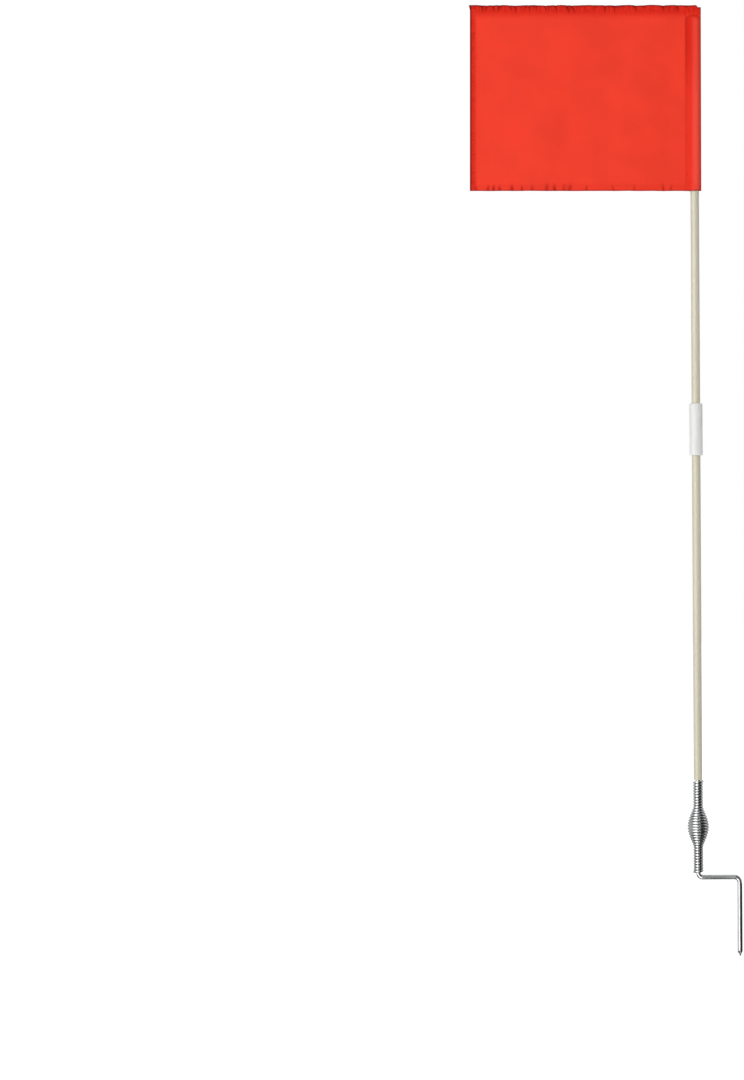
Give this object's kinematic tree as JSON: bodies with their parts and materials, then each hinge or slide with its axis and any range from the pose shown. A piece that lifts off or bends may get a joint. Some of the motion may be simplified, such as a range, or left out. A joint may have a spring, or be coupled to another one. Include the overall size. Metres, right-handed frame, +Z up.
{
  "type": "corner flag",
  "caption": "Cloth corner flag on a two-section pole with a barrel spring and a cranked steel ground peg.",
  "frame": {"origin": "at ground level on the axis of the stake, where the underside of the crank meets the ground", "axes": "+Z up along the pole, the flag's cloth in the XZ plane towards -X from the pole, the crank along X"},
  "size_m": [0.4413, 0.0357, 1.5652],
  "materials": {
    "steel_rod": "polished",
    "spring_wire": "polished",
    "fibreglass": "satin",
    "white_plastic": "satin",
    "black_plastic": "matte",
    "red_cloth": "matte"
  },
  "bodies": {
    "ground_peg": {"ground_peg": "steel_rod"},
    "spring": {"ground_spring": "spring_wire"},
    "lower_pole": {"lower_pole": "fibreglass", "pole_connector": "white_plastic", "spring_stub": "steel_rod"},
    "upper_pole": {"upper_pole": "fibreglass"},
    "pole_cap": {"pole_cap": "black_plastic"},
    "flag": {"flag_cloth": "red_cloth"}
  },
  "joints": [
    {"name": "spring_bend_fore_aft", "type": "hinge", "parent": "ground_peg", "child": "spring", "pos_m": [-0.0678, 0, 0.0648], "axis": [1, 0, 0], "range_deg": [-75, 75], "stiffness_Nm_per_rad": 3, "deforming": ["ground_spring"]},
    {"name": "spring_bend_sideways", "type": "hinge", "parent": "spring", "child": "lower_pole", "pos_m": [-0.0678, 0, 0.1052], "axis": [0, 1, 0], "range_deg": [-75, 75], "stiffness_Nm_per_rad": 3, "springref_deg": 1.64, "deforming": ["ground_spring"]},
    {"name": "upper_section_draw", "type": "slide", "parent": "lower_pole", "child": "upper_pole", "axis": [0, 0, 1], "range_m": [0, 0.045]},
    {"name": "flag_swivel", "type": "hinge", "parent": "upper_pole", "child": "pole_cap", "pos_m": [-0.0678, 0, 1.4159], "axis": [0, 0, 1], "continuous": true},
    {"name": "flag_lift", "type": "slide", "parent": "pole_cap", "child": "flag", "axis": [0, 0, 1], "range_m": [0, 0.29]}
  ]
}
